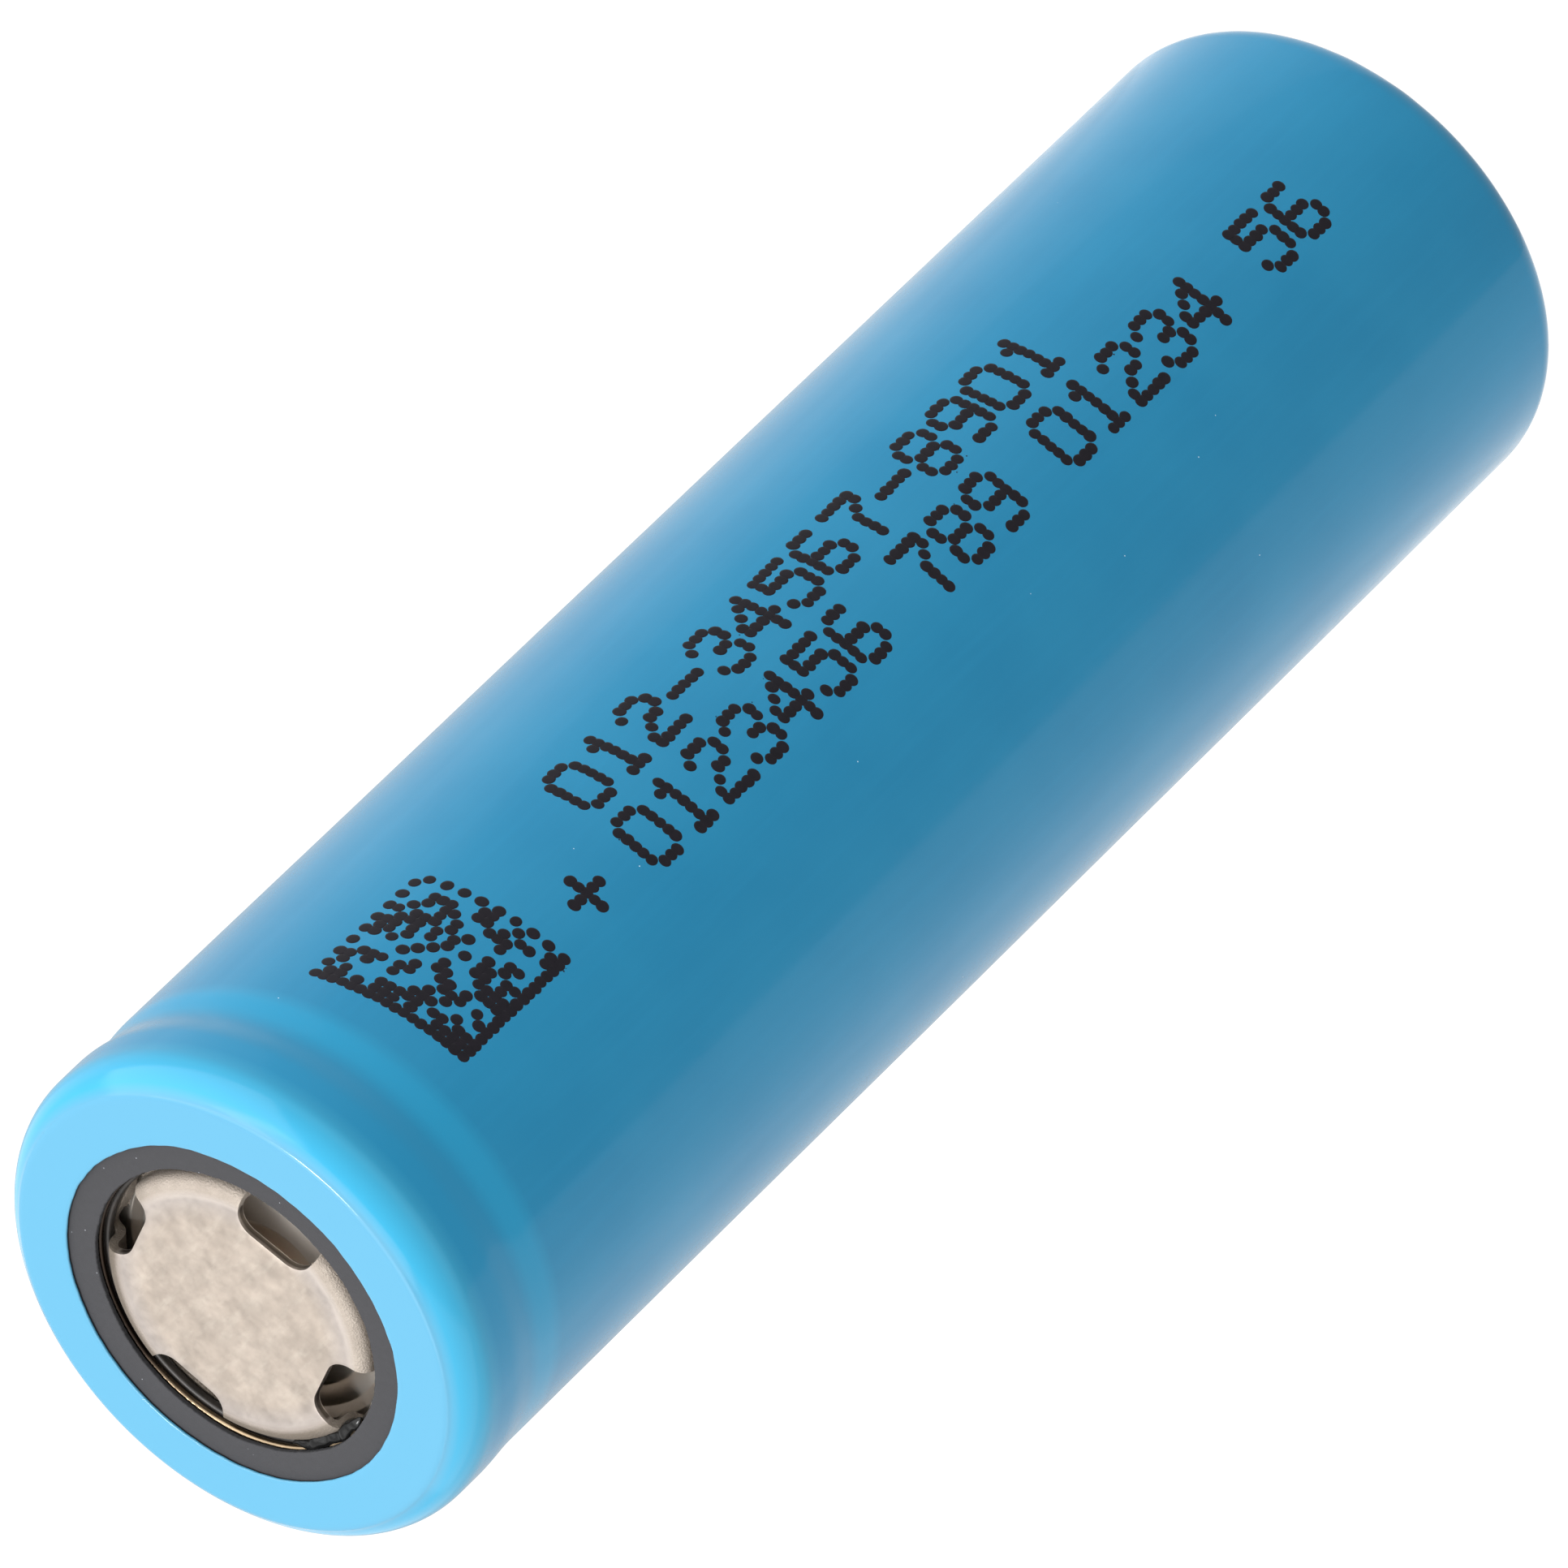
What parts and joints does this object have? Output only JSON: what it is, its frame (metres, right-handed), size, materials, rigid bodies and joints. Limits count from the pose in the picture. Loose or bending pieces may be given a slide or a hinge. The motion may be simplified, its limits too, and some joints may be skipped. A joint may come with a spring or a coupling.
{
  "type": "cylindrical battery cell",
  "caption": "Cylindrical rechargeable cell in a shrink sleeve, with a vented positive cap inside an insulating washer and a flat negative end.",
  "frame": {"origin": "centre of the negative end, on the plane that the standing cell rests on", "axes": "+Z along the cell's axis from the negative end to the positive end; +X and +Y across it"},
  "size_m": [0.0186, 0.0186, 0.0652],
  "materials": {
    "blue_sleeve": "satin blue heat-shrink film",
    "black_ink": "matte black ink dots on the sleeve",
    "grey_washer": "matte grey pressed fibre",
    "nickel_steel": "nickel-plated steel",
    "cap_nickel": "cloudy satin nickel plate",
    "black_gasket": "black moulded polymer",
    "carbon_polymer": "black",
    "aluminium": "plain sheet",
    "white_polymer": "white moulded polymer",
    "polyimide_tape": "amber tape",
    "insulating_paper": "pale pressed paper",
    "cathode_coating": "matte black coating on foil",
    "anode_coating": "matte graphite coating on foil",
    "porous_film": "white porous film"
  },
  "bodies": {
    "root": {"sleeve": "blue_sleeve", "top_washer": "grey_washer", "can": "nickel_steel", "gasket": "black_gasket", "top_cap": "cap_nickel", "ptc_ring": "carbon_polymer", "vent_disc": "aluminium", "vent_insulator": "white_polymer", "contact_plate": "aluminium", "positive_tab": "aluminium", "positive_tab_tape": "polyimide_tape", "upper_insulator": "insulating_paper", "center_pin": "nickel_steel", "cathode": "cathode_coating", "anode": "anode_coating", "separator_inner": "porous_film", "separator_outer": "porous_film", "closing_tape": "polyimide_tape", "negative_tab": "nickel_steel", "negative_tab_tape": "polyimide_tape", "lower_insulator": "insulating_paper"}
  },
  "joints": []
}
